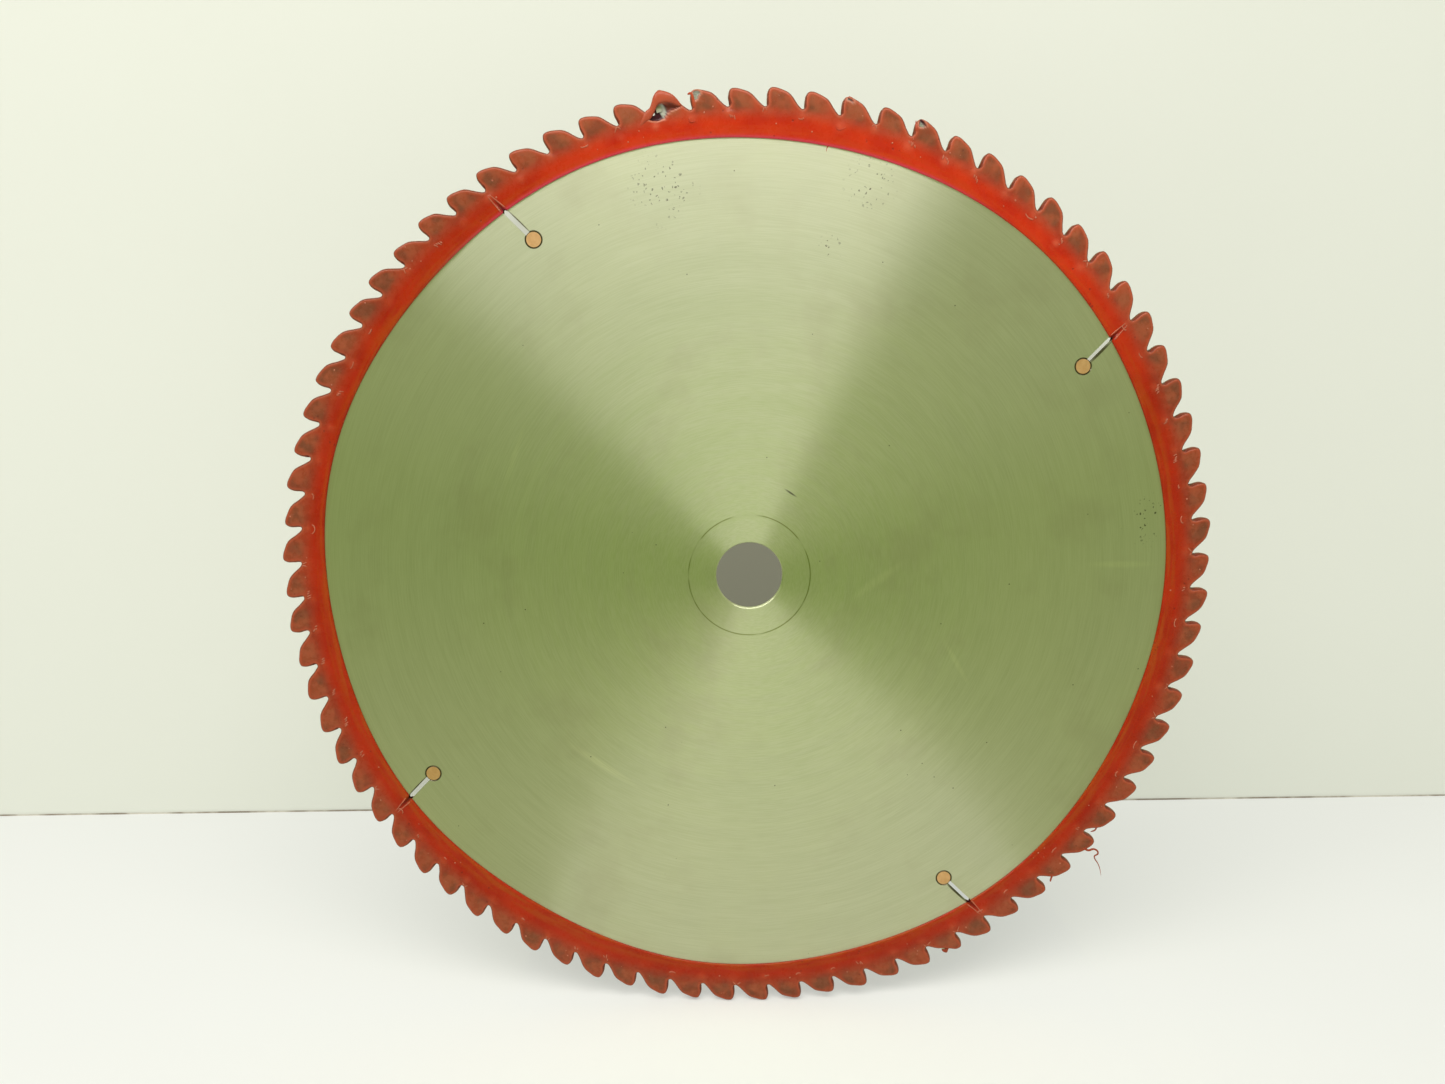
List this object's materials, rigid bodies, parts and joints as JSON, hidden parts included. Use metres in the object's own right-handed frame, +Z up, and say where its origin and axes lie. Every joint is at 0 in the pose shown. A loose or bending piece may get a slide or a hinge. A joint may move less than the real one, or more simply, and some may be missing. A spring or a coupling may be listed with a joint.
{
  "type": "circular saw blade",
  "caption": "Round toothed cutting disc with a plain centre bore, plugged expansion slots and a peel-off dip coat over its tipped rim.",
  "frame": {"origin": "centre of the bore, midway through the plate's thickness", "axes": "+Y along the bore axis from the front face to the back face, +Z up, teeth point counter-clockwise seen from the front (-Y) side"},
  "size_m": [0.3528, 0.0046, 0.3528],
  "materials": {
    "ground_steel": "fine circular grind, semi-bright",
    "red_coat": "glossy, slightly clear dipped plastic",
    "copper_plug": "ground flush",
    "tip": "fine ground",
    "braze": "dull"
  },
  "bodies": {
    "root": {"saw_plate": "ground_steel", "dip_coat": "red_coat", "slot_plug_1": "copper_plug", "slot_plug_2": "copper_plug", "slot_plug_3": "copper_plug", "slot_plug_4": "copper_plug", "tip_pair_01": "tip", "tip_pair_02": "tip", "tip_pair_03": "tip", "tip_pair_04": "tip", "tip_pair_05": "tip", "tip_pair_06": "tip", "tip_pair_07": "tip", "tip_pair_08": "tip", "tip_pair_09": "tip", "tip_pair_10": "tip", "tip_pair_11": "tip", "tip_pair_12": "tip", "tip_pair_13": "tip", "tip_pair_14": "tip", "tip_pair_15": "tip", "tip_pair_16": "tip", "tip_pair_17": "tip", "tip_pair_18": "tip", "tip_pair_19": "tip", "tip_pair_20": "tip", "tip_pair_21": "tip", "tip_pair_22": "tip", "tip_pair_23": "tip", "tip_pair_24": "tip", "tip_pair_25": "tip", "tip_pair_26": "tip", "tip_pair_27": "tip", "tip_pair_28": "tip", "tip_pair_29": "tip", "tip_pair_30": "tip", "tip_pair_31": "tip", "tip_pair_32": "tip", "tip_pair_33": "tip", "tip_pair_34": "tip", "tip_pair_35": "tip", "tip_pair_36": "tip", "tip_pair_37": "tip", "tip_pair_38": "tip", "tip_pair_39": "tip", "tip_pair_40": "tip", "braze_foils_1": "braze", "braze_foils_2": "braze", "braze_foils_3": "braze", "braze_foils_4": "braze", "braze_foils_5": "braze", "braze_foils_6": "braze", "braze_foils_7": "braze", "braze_foils_8": "braze"}
  },
  "joints": []
}
